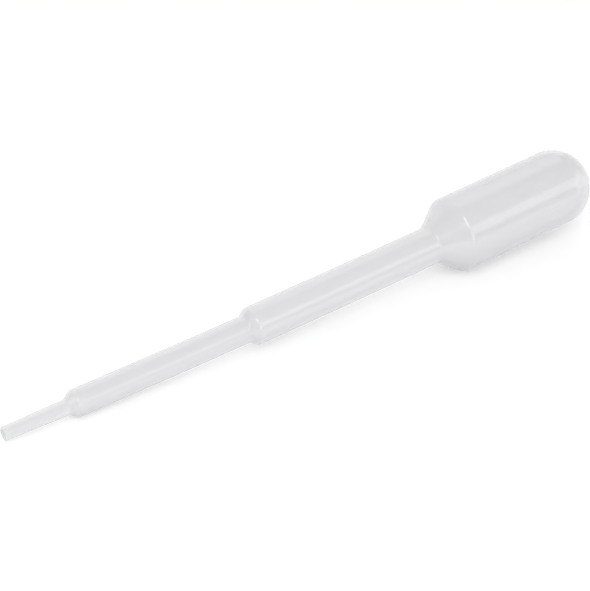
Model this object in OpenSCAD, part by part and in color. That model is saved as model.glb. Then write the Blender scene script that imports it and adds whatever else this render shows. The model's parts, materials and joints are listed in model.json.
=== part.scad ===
// A one-piece dropper pipette of soft clear-milky plastic. It is blown as a single hollow body:
// a round-ended squeeze bulb, an upper stem, a lower stem and a drawn-out tip, each thinner than
// the one before and joined to it by a short conical shoulder. It has a slight bow from cooling.
// The body lies on its side on a flat surface, on the rims of the bulb and of the lower stem. The
// bow's plane is nearly level, and the mouth stands a little off the surface.
// Millimetres. The tip points to -X, the bulb to +X, and +Z is up.

/* [Bulb] */
// Outside diameter of the squeeze bulb
bulb_d = 16; // [12:0.5:24]
// Length of the bulb's straight side, between its shoulder and its round end
bulb_len = 26.5; // [12:0.5:50]
// Wall of the bulb's side and of its shoulder
bulb_wall = 0.5; // [0.3:0.05:1]
// Wall at the pole of the round end, where the plastic gathers as the mould shuts
dome_wall = 1.2; // [1:0.1:3]

/* [Upper stem] */
// Outside diameter of the upper stem
upper_d = 7.9; // [6.4:0.1:10]
// Length of the upper stem, from the end of its shoulder to the bulb's shoulder
upper_len = 43.5; // [20:0.5:80]
// Wall of the upper stem
upper_wall = 0.7; // [0.4:0.05:1]

/* [Lower stem] */
// Outside diameter of the lower stem
lower_d = 5.6; // [4.6:0.1:7]
// Length of the lower stem, from the end of its shoulder to the upper stem's shoulder
lower_len = 38; // [20:0.5:80]
// Wall of the lower stem
lower_wall = 0.65; // [0.4:0.05:1]

/* [Tip] */
// Outside diameter of the tip at its open mouth
mouth_d = 2.8; // [2.4:0.1:3.2]
// Outside diameter of the tip where it meets its shoulder
root_d = 3.2; // [2.8:0.1:3.8]
// Diameter of the straight bore through the tip
bore_d = 1.6; // [0.8:0.1:2]
// Length of the tip, from its mouth to the lower stem's shoulder
tip_len = 13.5; // [10:0.5:40]

/* [Shoulders] */
// Half angle of the three conical shoulders, measured from the axis
shoulder_angle = 36; // [30:1:50]
// Radius of the rounded rim where each shoulder meets the wider tube
rim_round = 0.8; // [0.3:0.1:1]

/* [Bow] */
// Sideways bend in the neck below the lower stem, in degrees
lower_bend = 1; // [1:0.1:3]
// Sideways bend in the neck below the upper stem, in degrees
upper_bend = 1.6; // [1:0.1:3]
// Sideways bend in the neck below the bulb, in degrees
bulb_bend = 1.6; // [1:0.1:3]
// How far the bow's plane is rolled out of level, in degrees, with both of its ends going down
bow_roll = 10; // [0:1:20]

/* [Hidden] */
$fn = 96;

// How far each tube is carried on inside the next, so that the two join as one solid
lap = 1;
// How far each rounding stands over the faces it joins, so that it meets them cleanly
bite = 0.002;
// How far the bore is carried past the mouth, so that it is cut clean through
overshoot = 1;
// Least radius left in the cavity's rims
least_round = 0.1;

// Outside radii, from the mouth to the bulb
outside = [mouth_d, root_d, lower_d, upper_d, bulb_d] / 2;
// Walls of the lower stem, the upper stem and the bulb
walls = [lower_wall, upper_wall, bulb_wall];
// Inside radii at the same five places; the bore through the tip is straight
inside = concat([bore_d, bore_d] / 2, [for (i = [0:2]) outside[i + 2] - walls[i]]);

// A wall of even thickness sets the inside of a shoulder this far along the axis from its outside
shifts = walls * tan(shoulder_angle / 2);
// The rounding of the cavity's rims runs parallel to that outside
inner_rims = [for (wall = walls) max(rim_round - wall, least_round)];

// Length along the axis of the shoulders of the lower stem, the upper stem and the bulb
shoulders = [for (i = [0:2]) (outside[i + 2] - outside[i + 1]) / tan(shoulder_angle)];
// Length from each neck to the next, and from the last to the centre of the round end
lengths = shoulders + [lower_len, upper_len, bulb_len];

// Where the axis runs before the body is laid down: the mouth is the origin, and the tip points to -X
function step(length, heading) = length * [cos(heading), sin(heading)];
headings = [lower_bend, lower_bend + upper_bend, lower_bend + upper_bend + bulb_bend];
lower_neck = [tip_len, 0];
upper_neck = lower_neck + step(lengths[0], headings[0]);
bulb_neck = upper_neck + step(lengths[1], headings[1]);
dome_centre = bulb_neck + step(lengths[2], headings[2]);
pole = dome_centre + step(outside[4], headings[2]);

// The line from the mouth to the pole is turned to lie along X
turn = -atan2(pole[1], pole[0]);
function turned(p) = [p[0] * cos(turn) - p[1] * sin(turn), p[0] * sin(turn) + p[1] * cos(turn)];
// The rounding of a rim is centred this far past the end of its shoulder
rim_cut = rim_round * tan(shoulder_angle / 2);
necks = [lower_neck, upper_neck, bulb_neck];
rims = [for (i = [0:2]) turned(necks[i] + step(shoulders[i] + rim_cut, headings[i]))];
bulb_rim = rims[2];

// The body lies on the bulb's rim. Three more places may touch the floor: the rims of the lower
// stem and of the upper stem, and the mouth. This is how far each is from the bulb's rim
touches = [rims[0], rims[1], [0, 0]];
touch_radii = [outside[2], outside[3], outside[0]];
away = [for (p = touches) bulb_rim[0] - p[0]];
// Slope from the underside of the bulb's rim up to theirs, and what a roll of 90 degrees adds to it
slopes = [for (i = [0:2]) (outside[4] - touch_radii[i]) / away[i]];
leans = [for (i = [0:2]) (touches[i][1] - bulb_rim[1]) / away[i]];
// The flattest of the three touches first, and sets how far the body tips down from its bulb
roll = -bow_roll;
lie = atan(min([for (i = [0:2]) slopes[i] + leans[i] * sin(roll)]));

// Where a point or a direction of the turned axis goes as the body is rolled and then tipped
function laid(p) = [
    p[0] * cos(lie) - p[1] * sin(roll) * sin(lie),
    p[1] * cos(roll),
    p[0] * sin(lie) + p[1] * sin(roll) * cos(lie)
];
// How far the edge of a disc of radius 1, square to the axis, reaches in direction k of X, Y and Z
function edge(heading, k) = sqrt(1 - pow(laid(turned(step(1, heading)))[k], 2));
// The underside of the bulb's rim is lifted to the floor, and the middle of the box that the mouth
// and the round end set in X, and the bulb's rim and its round end in Y, is moved over the origin
drop = (outside[4] - rim_round) * edge(headings[2], 2) + rim_round + bite - laid(bulb_rim)[2];
mid_x = (laid(turned(dome_centre))[0] + outside[4] - outside[0] * edge(0, 0)) / 2;
mid_y = (laid(bulb_rim)[1] + laid(turned(dome_centre))[1]) / 2;

// Half of a tube's section, with its radius to the right and its length upwards: a shoulder that
// passes the thin radius at height start and widens to a rounded rim. The cone begins inside the
// thinner tube, at 0.65 of its radius, so that the two surfaces cross at the shoulder's own angle.
module tube_half(thin, wide, start, end, rim_r) {
    along = [sin(shoulder_angle), cos(shoulder_angle)];
    cut = rim_r * tan(shoulder_angle / 2);
    root = [thin * 0.65, start - thin * 0.35 / tan(shoulder_angle)];
    rim = [wide, start + (wide - thin) / tan(shoulder_angle)];
    polygon([[0, root[1]], root, rim - cut * along, rim + [0, cut], [wide, end], [0, end]]);
    translate([wide - rim_r, rim[1] + cut]) circle(r = rim_r + bite);
}

// A quarter disc: half the section of the bulb's round end
module dome_half(r) {
    intersection() {
        circle(r = r);
        square(r);
    }
}

// Turns a half section round the axis, with its length along +X
module spun() {
    rotate([0, 90, 0]) rotate_extrude() children();
}

// Goes on from a neck at the distance given, bent to the left
module past_neck(distance, bend) {
    translate([distance, 0, 0]) rotate([0, 0, bend]) children();
}

// The body as one solid of the five radii r. It serves for the outside and for the cavity, whose
// shoulders are shifted and whose round end is centred short of the outside's.
module filled(r, shift, rim_r, before_mouth, dome_back) {
    growth = (r[1] - r[0]) / tip_len;
    rotate([0, 90, 0])
        translate([0, 0, -before_mouth])
            cylinder(h = before_mouth + tip_len + lap, r1 = r[0], r2 = r[1] + growth * lap);
    past_neck(tip_len, lower_bend) {
        spun() tube_half(r[1], r[2], shift[0], lengths[0] + lap, rim_r[0]);
        past_neck(lengths[0], upper_bend) {
            spun() tube_half(r[2], r[3], shift[1], lengths[1] + lap, rim_r[1]);
            past_neck(lengths[1], bulb_bend) spun() {
                tube_half(r[3], r[4], shift[2], lengths[2] - dome_back, rim_r[2]);
                translate([0, lengths[2] - dome_back]) dome_half(r[4]);
            }
        }
    }
}

// Lays a body that runs from the origin along +X on the floor, with the middle of its box over the
// origin
module laid_down() {
    translate([-mid_x, -mid_y, drop]) rotate([roll, -lie, 0]) rotate([0, 0, turn]) children();
}

module pipette() {
    color([0.89, 0.89, 0.9])
        laid_down()
            difference() {
                filled(outside, [0, 0, 0], [1, 1, 1] * rim_round, 0, 0);
                filled(inside, shifts, inner_rims, overshoot, dome_wall - bulb_wall);
            }
}

pipette();
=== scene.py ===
# %% [markdown]
# # A squeeze dropper pipette in soft milky plastic
# The real thing is one hollow body, blown from a single tube of low-density polyethylene: a
# round-ended bulb, two stems and a drawn-out tip, with a wall about as thick as a fingernail. It
# lies on its side on a pale table. The solid model fixes every size and place, and this script
# gives it a finer skin, a finish, a floor, some light and a camera.

# %% Load the solid model and note its box
import json
import math

import bmesh
import bpy
import numpy as np
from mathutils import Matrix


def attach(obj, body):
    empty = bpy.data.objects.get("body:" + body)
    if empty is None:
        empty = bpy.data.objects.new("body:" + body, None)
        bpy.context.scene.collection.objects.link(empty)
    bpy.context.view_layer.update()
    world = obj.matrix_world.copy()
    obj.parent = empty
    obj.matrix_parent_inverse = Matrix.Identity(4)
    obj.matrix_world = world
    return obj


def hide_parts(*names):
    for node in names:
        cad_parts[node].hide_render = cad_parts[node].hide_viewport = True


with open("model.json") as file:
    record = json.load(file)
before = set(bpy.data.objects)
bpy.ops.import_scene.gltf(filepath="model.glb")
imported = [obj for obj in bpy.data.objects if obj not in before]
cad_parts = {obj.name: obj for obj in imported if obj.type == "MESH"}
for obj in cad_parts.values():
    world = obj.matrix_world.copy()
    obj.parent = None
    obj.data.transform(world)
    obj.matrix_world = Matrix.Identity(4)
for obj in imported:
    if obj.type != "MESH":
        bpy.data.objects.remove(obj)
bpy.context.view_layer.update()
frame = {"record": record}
mounts = {m["name"]: m for m in frame["record"]["mounts"]}
print("places given by the record:", sorted(mounts))

# %% [markdown]
# ## The line the body follows
# The body isn't quite straight: it has a slight bow, because one side of the plastic cooled
# before the other. The record gives four places on its axis, each with the axis's direction: the
# mouth, the middle of either stem and the middle of the bulb. A curve that passes through all
# four in those directions is the bow itself. Cubic pieces do that with no fitting, and the round
# end just goes straight on from the last of them.


# %% Places and directions along the axis
def place(name):
    """A mount's place in metres, and the axis's direction there, pointing to the bulb."""
    mount = mounts[name]
    return np.array(mount["pos_m"]), -np.array(mount["axis"])


stations = [place(name) for name in ("tip_bore", "lower_stem", "upper_stem", "bulb")]
last_place, last_heading = stations[-1]
bulb_radius = mounts["bulb"]["dims"]["r_mm"] / 1000
bulb_side = mounts["bulb"]["dims"]["length_mm"] / 1000
pole = last_place + last_heading * (bulb_side / 2 + bulb_radius)
stations.append((pole, last_heading))
places = np.array([s[0] for s in stations])
headings = np.array([s[1] for s in stations])
spans = np.linalg.norm(np.diff(places, axis=0), axis=1)
starts = np.concatenate([[0.0], np.cumsum(spans)])
print("from the mouth to the pole, mm:", round(starts[-1] * 1000, 2))


# %% The axis as a curve
def on_axis(along):
    """Points and unit directions of the axis at distances along it.

    Between two stations p and q, h apart and with directions u and v, at a share t of the way:
    (2t^3 - 3t^2 + 1) p + (t^3 - 2t^2 + t) h u + (3t^2 - 2t^3) q + (t^3 - t^2) h v,
    and the direction is that formula's own rate of change."""
    i = np.clip(np.searchsorted(starts, along, side="right") - 1, 0, len(spans) - 1)
    h = spans[i][:, None]
    t = (along - starts[i])[:, None] / h
    p, q, u, v = places[i], places[i + 1], headings[i], headings[i + 1]
    point = (2*t**3 - 3*t**2 + 1) * p + (t**3 - 2*t**2 + t) * h * u
    point = point + (3*t**2 - 2*t**3) * q + (t**3 - t**2) * h * v
    rate = (6*t**2 - 6*t) * (p - q) + (3*t**2 - 4*t + 1) * h * u + (3*t**2 - 2*t) * h * v
    return point, rate / np.linalg.norm(rate, axis=1, keepdims=True)


# %% [markdown]
# ## The outline of the wall
# Seen in a lengthwise cut, the wall is a thin closed band: from the pole inwards along the
# cavity to the mouth, over the lip, and back along the outside. It could be modelled as a skin
# with a Solidify modifier, but the real wall isn't even: it is thick at the pole, where the
# plastic gathers, and at the tip, where it is drawn round a fine bore. So both faces are drawn,
# as one list of corners, and each corner is rounded by its own small arc, as a blown body has no
# sharp edge anywhere.

# %% Sizes of the outline, in millimetres
tip_bore = mounts["tip_bore"]["dims"]
lower_r = mounts["lower_stem"]["dims"]["r_mm"]
upper_r = mounts["upper_stem"]["dims"]["r_mm"]
bulb_r = mounts["bulb"]["dims"]["r_mm"]
bore_r = tip_bore["r_mm"]
slope = math.radians(36)
mouth_r, root_r = 1.4, 1.6
lower_wall, upper_wall, bulb_wall, pole_wall = 0.65, 0.7, 0.5, 1.2
rim_round, neck_round = 0.8, 0.6


# %% Where the shoulders lie along the axis
def along_mm(name, side):
    """Distance from the mouth to a straight tube's end: side is -1 at its tip end, 1 at the other."""
    i = ("tip_bore", "lower_stem", "upper_stem", "bulb").index(name)
    return starts[i] * 1000 + side * mounts[name]["dims"]["length_mm"] / 2


rim_cut = rim_round * math.tan(slope / 2)
lower_rim = along_mm("lower_stem", -1) - rim_cut
upper_rim = along_mm("upper_stem", -1) - rim_cut
bulb_rim = along_mm("bulb", -1) - rim_cut
lower_neck = lower_rim - (lower_r - root_r) / math.tan(slope)
upper_neck = upper_rim - (upper_r - lower_r) / math.tan(slope)
bulb_neck = bulb_rim - (bulb_r - upper_r) / math.tan(slope)
end = starts[-1] * 1000
print("necks at", [round(x, 2) for x in (lower_neck, upper_neck, bulb_neck)], "end at", round(end, 2))


# %% Corners of the wall's two faces
def shift(wall):
    """How far along the axis a shoulder's inside lies from its outside, for an even wall."""
    return wall * math.tan(slope / 2)


def inner_rim(neck, thin_inside, wide_inside, wall):
    """Where the cavity's shoulder ends: it starts at the shifted neck, at the thin tube's bore."""
    return neck + shift(wall) + (wide_inside - thin_inside) / math.tan(slope)


outer_face = [
    # along the axis, radius, rounding
    (0.0, mouth_r, 0.25),
    (lower_neck, root_r, neck_round),
    (lower_rim, lower_r, rim_round),
    (upper_neck, lower_r, neck_round),
    (upper_rim, upper_r, rim_round),
    (bulb_neck, upper_r, neck_round),
    (bulb_rim, bulb_r, rim_round),
    (end, bulb_r, bulb_r),
]
lower_in, upper_in, bulb_in = lower_r - lower_wall, upper_r - upper_wall, bulb_r - bulb_wall
inside_pole = end - pole_wall
inner_face = [
    (inside_pole, bulb_in, bulb_in),
    (inner_rim(bulb_neck, upper_in, bulb_in, bulb_wall), bulb_in, 0.4),
    (bulb_neck + shift(bulb_wall), upper_in, neck_round),
    (inner_rim(upper_neck, lower_in, upper_in, upper_wall), upper_in, 0.3),
    (upper_neck + shift(upper_wall), lower_in, neck_round),
    (inner_rim(lower_neck, bore_r, lower_in, lower_wall), lower_in, 0.3),
    (lower_neck + shift(lower_wall), bore_r, neck_round),
    (0.0, bore_r, 0.2),
]
corners = np.array([(inside_pole, 0.0, 0.0)] + inner_face + outer_face + [(end, 0.0, 0.0)])
print("corners of the outline:", len(corners))


# %% Round the corners
def rounded(corners, steps):
    """The outline with each corner replaced by an arc, as an array of (along, radius).

    At a corner where the outline turns by an angle a, an arc of radius r touches both sides
    r tan(a/2) away from the corner. Its middle is off the corner by r / cos(a/2) along the line
    that halves the angle, and its points are the middle plus r times (cos, sin) of equal steps."""
    flat, r = corners[:, :2], corners[1:-1, 2]
    side = np.diff(flat, axis=0)
    side = side / np.linalg.norm(side, axis=1, keepdims=True)
    before, after = side[:-1], side[1:]
    turn = np.arctan2(before[:, 0]*after[:, 1] - before[:, 1]*after[:, 0], (before*after).sum(1))
    left = np.stack([-before[:, 1], before[:, 0]], 1) * np.sign(turn)[:, None]
    first = flat[1:-1] - before * (r * np.tan(np.abs(turn) / 2))[:, None]
    middle = first + left * r[:, None]
    angle = turn[:, None] * np.linspace(0, 1, steps)[None, :]
    out = -left[:, None, :]
    cos, sin = np.cos(angle)[..., None], np.sin(angle)[..., None]
    swung = out * cos + np.stack([-out[..., 1], out[..., 0]], -1) * sin
    arcs = middle[:, None, :] + r[:, None, None] * swung
    return np.concatenate([flat[:1], arcs.reshape(-1, 2), flat[-1:]])


arc_points, even_points, closest_mm = 17, 240, 0.02
outline = rounded(corners, arc_points)
lengths = np.concatenate([[0.0], np.cumsum(np.linalg.norm(np.diff(outline, axis=0), axis=1))])
keep = np.concatenate([[True], np.diff(lengths) > 1e-6])
outline, lengths = outline[keep], lengths[keep]
extra = np.linspace(0, lengths[-1], even_points)
stops = np.unique(np.round(np.concatenate([lengths, extra]), 5))
gaps = np.concatenate([[True], np.diff(stops) > closest_mm])
stops = stops[gaps]
outline = np.stack([np.interp(stops, lengths, outline[:, k]) for k in (0, 1)], 1)
outline[[0, -1], 1] = 0.0
print("points on the outline:", len(outline))

# %% [markdown]
# ## The skin
# The outline is carried round the axis and along its bow: each point goes to the place on the
# axis at its own distance, plus its radius in the direction of a turning spoke. The outline
# starts and ends on the axis, so the two poles are single points with a fan of triangles, and
# the last column joins the first. The result is a closed wall with an inside and an outside.


# %% Build a closed mesh from rows of rings
def ringed_mesh(name, rings, first, last):
    """A closed mesh from rings[row, column], closed by a point before the first row and after
    the last. Quad (i, j) joins columns j and j + 1 of rows i and i + 1, and the last column
    meets the first."""
    rows, columns = rings.shape[:2]
    points = np.concatenate([rings.reshape(-1, 3), [first, last]])
    i, j = np.meshgrid(np.arange(rows - 1), np.arange(columns), indexing="ij")
    k = (j + 1) % columns
    quads = np.stack([i*columns + j, (i + 1)*columns + j, (i + 1)*columns + k, i*columns + k], -1)
    c = np.arange(columns)
    d = (c + 1) % columns
    start_fan = np.stack([np.full(columns, rows*columns), c, d], 1)
    base = (rows - 1) * columns
    end_fan = np.stack([base + c, np.full(columns, rows*columns + 1), base + d], 1)
    mesh = bpy.data.meshes.new(name)
    fans = np.concatenate([start_fan, end_fan]).tolist()
    mesh.from_pydata(points, [], fans + quads.reshape(-1, 4).tolist())
    mesh.polygons.foreach_set("use_smooth", np.ones(len(mesh.polygons), bool))
    mesh.update()
    return mesh


columns = 120
point, heading = on_axis(outline[1:-1, 0] / 1000)
across = np.cross(heading, [0.0, 0.0, 1.0])
across = across / np.linalg.norm(across, axis=1, keepdims=True)
above = np.cross(across, heading)
angle = np.linspace(0, 2 * np.pi, columns, endpoint=False)
spoke = (np.cos(angle)[None, :, None] * across[:, None, :]
         + np.sin(angle)[None, :, None] * above[:, None, :])
rings = point[:, None, :] + (outline[1:-1, 1] / 1000)[:, None, None] * spoke
ends = on_axis(outline[[0, -1], 0] / 1000)[0]
skin_mesh = ringed_mesh("pipette_skin", rings, ends[0], ends[1])
skin = bpy.data.objects.new("pipette_skin", skin_mesh)
bpy.context.scene.collection.objects.link(skin)
print("skin:", len(skin_mesh.vertices), "points,", len(skin_mesh.polygons), "faces")

# %% Check that its faces point outwards
check = bmesh.new()
check.from_mesh(skin_mesh)
print("volume of plastic, mm3:", round(check.calc_volume(signed=True) * 1e9, 1))
print("open edges:", sum(not e.is_manifold for e in check.edges))
check.free()

# %% The skin stands for the solid body
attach(skin, "root")
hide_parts("pipette")

# %% [markdown]
# ## Nodes written as sums
# A material in Blender is a web of nodes. Written one by one, the wiring hides the idea, so two
# small classes carry it. Flow is a value on its way out of a node: adding or multiplying flows
# makes the Math node that does it, so a line of shader maths reads as a line of maths. Finish is
# one material, and its add method puts in any other node: its kind, its settings, its inputs.


# %% A value on its way out of a node
class Flow:
    """One output socket. Sums, differences and products of flows and numbers are Math nodes."""

    def __init__(self, finish, socket):
        self.finish = finish
        self.socket = socket

    def math(self, operation, first, second):
        return self.finish.add("ShaderNodeMath", {"operation": operation}, {0: first, 1: second})

    def __add__(self, other):
        return self.math("ADD", self, other)

    def __radd__(self, other):
        return self.math("ADD", other, self)

    def __sub__(self, other):
        return self.math("SUBTRACT", self, other)

    def __rsub__(self, other):
        return self.math("SUBTRACT", other, self)

    def __mul__(self, other):
        return self.math("MULTIPLY", self, other)

    def __rmul__(self, other):
        return self.math("MULTIPLY", other, self)


# %% One material
class Finish:
    """A material with a Principled shader, and the one way that nodes are put into it."""

    def __init__(self, name):
        self.material = bpy.data.materials.new(name)
        self.material.use_nodes = True
        self.tree = self.material.node_tree
        self.shader = self.tree.nodes["Principled BSDF"]

    def fill(self, node, sockets):
        """Give a node's inputs their numbers, or link them to flows."""
        for key, value in sockets.items():
            if isinstance(value, Flow):
                self.tree.links.new(value.socket, node.inputs[key])
            else:
                node.inputs[key].default_value = value

    def add(self, kind, settings, sockets, output=0):
        """Put in a node of this kind, set it, fill its inputs, and return one of its outputs."""
        node = self.tree.nodes.new(kind)
        for key, value in settings.items():
            setattr(node, key, value)
        self.fill(node, sockets)
        return Flow(self, node.outputs[output])


# %% [markdown]
# ## The plastic
# Blown low-density polyethylene is clear when thin and milky when thick: it scatters light
# inside its wall, and its skin has a soft, greasy gloss. True refraction through two walls would
# draw dark outlines, which this plastic doesn't have, so it is made the plainer way: a pale
# surface that lets a share of what lies behind it through, with a clear coat for the gloss. The
# wall's own thickness sets that share and the roughness, so the thin bulb is the clearest and
# the gathered pole the milkiest. The outside is a neutral white; the cavity's face has painted
# shade, a little darker and bluer, standing in for light that has crossed a wall. Faint clouds
# in the colour, fine draw lines and a slight waviness in the skin keep it from looking perfect.

# %% The wall's thickness, kept on the skin as an attribute
wall_along = [0.0, lower_neck, lower_rim, upper_neck, upper_rim, bulb_neck, bulb_rim, end - bulb_r, end]
tip_wall = mouth_r - bore_r
root_wall = root_r - bore_r
wall_there = [tip_wall, root_wall, lower_wall, lower_wall, upper_wall, upper_wall,
              bulb_wall, bulb_wall, pole_wall]
ring_wall = np.interp(outline[1:-1, 0], wall_along, wall_there)
point_wall = np.concatenate([np.repeat(ring_wall, columns), [pole_wall, pole_wall]])
wall = skin_mesh.attributes.new("wall_mm", "FLOAT", "POINT")
wall.data.foreach_set("value", point_wall.astype(np.float32))
print("walls, mm:", round(float(point_wall.min()), 2), "to", round(float(point_wall.max()), 2))

# %% Which face is the cavity's, kept as an attribute too
lip = int(np.argmin(outline[1:-1, 0]))
ring_inside = (np.arange(len(ring_wall)) < lip).astype(float)
point_inside = np.concatenate([np.repeat(ring_inside, columns), [1.0, 0.0]])
inside = skin_mesh.attributes.new("inside", "FLOAT", "POINT")
inside.data.foreach_set("value", point_inside.astype(np.float32))
print("rings inside:", int(ring_inside.sum()), "outside:", int((1 - ring_inside).sum()))

# %% Clouds, draw lines and waviness
milky = Finish("milky_plastic")
spot = milky.add("ShaderNodeTexCoord", {}, {}, "Object")
thickness = milky.add("ShaderNodeAttribute", {"attribute_name": "wall_mm"}, {}, "Fac")


def stretched(scale):
    """Object coordinates, multiplied by a number of features per metre along X, Y and Z."""
    return milky.add("ShaderNodeVectorMath", {"operation": "MULTIPLY"}, {0: spot, 1: scale})


clouds = milky.add("ShaderNodeTexNoise", {}, {
    "Vector": stretched((90, 260, 260)), "Scale": 1.0, "Detail": 2.0, "Roughness": 0.5})
lines = milky.add("ShaderNodeTexNoise", {}, {
    "Vector": stretched((60, 1800, 1800)), "Scale": 1.0, "Detail": 2.0, "Roughness": 0.6})
waves = milky.add("ShaderNodeTexNoise", {}, {
    "Vector": stretched((110, 420, 420)), "Scale": 1.0, "Detail": 1.0, "Roughness": 0.4})

# %% Colour, roughness, gloss and how much shows through
outer_colour = (0.92, 0.92, 0.92, 1.0)
cloud_colour = (0.8, 0.8, 0.83, 1.0)
# Painted shade: the cavity's face is given a darker, bluer colour than the outside, standing in for
# light that has crossed the wall.
cavity_shade_colour = (0.84, 0.84, 0.895, 1.0)
cavity = milky.add("ShaderNodeAttribute", {"attribute_name": "inside"}, {}, "Fac")
# The inside attribute switches the cavity's face to that painted-shade colour.
plain = milky.add("ShaderNodeMix", {"data_type": "RGBA"}, {
    "Factor": cavity, 6: outer_colour, 7: cavity_shade_colour}, 2)
colour = milky.add("ShaderNodeMix", {"data_type": "RGBA"}, {
    "Factor": clouds * 0.2 + lines * 0.05, 6: plain, 7: cloud_colour}, 2)
gathered = thickness - bulb_wall
milky.fill(milky.shader, {
    "Base Color": colour,
    "Roughness": 0.1 + gathered * gathered * 0.6 + clouds * 0.04 + lines * 0.03,
    "Alpha": 0.46 + thickness * 0.2 + cavity * 0.08 + clouds * 0.06,
    "IOR": 2.0,
    "Coat Weight": 0.6,
    "Coat Roughness": 0.1,
})

# %% The skin's relief
swell = waves * 0.7 + lines * 0.05
relief = milky.add("ShaderNodeBump", {}, {"Strength": 0.5, "Distance": 0.00002, "Height": swell})
milky.fill(milky.shader, {"Normal": relief})
skin.data.materials.append(milky.material)
print("nodes in the plastic:", len(milky.tree.nodes))

# %% [markdown]
# ## A white table
# The object lies on a plain white table that reaches past every view. Lamps alone would need to
# be brighter than the plastic can take before the table looked white, so the table's colour is a
# pale grey, and it adds a little glow of its own. Only a ray from the camera, or from a mirroring
# or clear surface, sees that glow. It doesn't light the object, and a glossy wall mirrors the
# same white that the eye sees. The lamps still reach the table less under the object, which is
# its soft shadow. They fade with distance, so the glow grows there and the white stays even.

# %% The table
paper = Finish("white_table")
rays = {
    name: paper.add("ShaderNodeLightPath", {}, {}, name)
    for name in ("Is Camera Ray", "Is Glossy Ray", "Is Transmission Ray")
}
shown = rays["Is Camera Ray"] + rays["Is Glossy Ray"] + rays["Is Transmission Ray"]
across_table = paper.add("ShaderNodeTexCoord", {}, {}, "Object")
away = paper.add("ShaderNodeVectorMath", {"operation": "LENGTH"}, {0: across_table}, "Value")
near, far = 0.4, 1.4
near_glow, far_glow = 0.31, 0.58
own_glow = paper.add("ShaderNodeMapRange", {}, {
    "Value": away, "From Min": near, "From Max": far, "To Min": near_glow, "To Max": far_glow})
paper.fill(paper.shader, {
    "Base Color": (0.8, 0.8, 0.8, 1.0),
    "Roughness": 1.0,
    "Specular IOR Level": 0.0,
    "Emission Color": own_glow * shown,
    "Emission Strength": 1.0,
})
reach = 4.0
table_mesh = bpy.data.meshes.new("table")
table_corners = [(-reach, -reach, 0), (reach, -reach, 0), (reach, reach, 0), (-reach, reach, 0)]
table_mesh.from_pydata(table_corners, [], [(0, 1, 2, 3)])
table = bpy.data.objects.new("table", table_mesh)
bpy.context.scene.collection.objects.link(table)
table.data.materials.append(paper.material)
print("table reaches", reach, "m each way")

# %% [markdown]
# ## Where the object is seen from
# A long lens from well above and from the tip's side sets the object across the frame on a
# slant, with the bulb at the upper right and the mouth at the frame's left edge. The bearing is
# counted from straight in front, towards the bulb's side when positive. The lens is shifted a
# little, instead of turning the camera, so that the object sits where it should in the frame.


# %% Directions round the object
def direction(bearing, height):
    """The unit direction at a bearing and a height above the table, both in degrees:
    (sin b cos h, -cos b cos h, sin h)."""
    b, h = math.radians(bearing), math.radians(height)
    return np.array([math.sin(b) * math.cos(h), -math.cos(b) * math.cos(h), math.sin(h)])


# %% Camera
frame_side = 591
distance = 0.481
camera_data = bpy.data.cameras.new("camera")
camera_data.lens = 147.12
camera_data.sensor_width = 36.0
camera_data.shift_x = -14.08 / frame_side
camera_data.shift_y = 1.07 / frame_side
camera_data.clip_start = 0.01
camera = bpy.data.objects.new("camera", camera_data)
bpy.context.scene.collection.objects.link(camera)
target = (stations[0][0] + pole) / 2
bearing, height = -33.80, 36.02
camera.location = target + distance * direction(bearing, height)
camera.rotation_euler = (math.radians(90 - height), 0, math.radians(bearing))
bpy.context.scene.camera = camera
print("camera at", [round(c, 4) for c in camera.location])

# %% [markdown]
# ## Light
# Pale plastic needs broad, even light, or it turns into a few hot streaks on grey. The sky
# gives half of it. Soft boxes give the rest: a key above, on the camera's side, two wide ones
# behind that brighten the upper edges, a strip in front whose mirror image is the bright line
# along every tube, and low and side ones that light the shoulders and the round end. Where a
# small lamp would show in the gloss as a hot spot, a wider and dimmer one of the same power
# gives the same light without it.


# %% Soft boxes
def soft_box(name, bearing, height, away, width, tall, glow):
    """A rectangular lamp that faces the object. glow is its brightness beside a white sheet in
    full light: a lamp of area a and brightness g gives off pi g a watts."""
    lamp = bpy.data.lights.new(name, "AREA")
    lamp.shape = "RECTANGLE"
    lamp.size, lamp.size_y = width, tall
    lamp.energy = math.pi * glow * width * tall
    holder = bpy.data.objects.new(name, lamp)
    bpy.context.scene.collection.objects.link(holder)
    holder.location = target + away * direction(bearing, height)
    holder.rotation_euler = (math.radians(90 - height), 0, math.radians(bearing))
    print("soft box", name, round(lamp.energy, 3), "W")


soft_box("key", -34, 52, 0.7, 0.4, 0.4, 2.5)
soft_box("back_low", 165, 12, 0.9, 1.4, 0.36, 0.6)
soft_box("back_high", 165, 45, 0.9, 1.2, 0.6, 0.6)
soft_box("front_strip", 27, 27, 0.7, 0.6, 0.26, 0.75)
soft_box("low_left", -11, 12, 0.7, 0.28, 0.3, 2.4)
soft_box("low_right", 66, 12, 0.7, 0.55, 0.3, 0.9)
soft_box("left_side", -95, 24, 0.7, 0.4, 0.4, 1.0)

# %% Sky
sky = bpy.data.worlds.new("sky")
sky.use_nodes = True
dome = sky.node_tree.nodes["Background"]
dome.inputs["Color"].default_value = (1.0, 1.0, 1.0, 1.0)
dome.inputs["Strength"].default_value = 0.58
bpy.context.scene.world = sky
print("sky strength:", round(dome.inputs["Strength"].default_value, 2))
bpy.context.scene.view_settings.view_transform = "Standard"
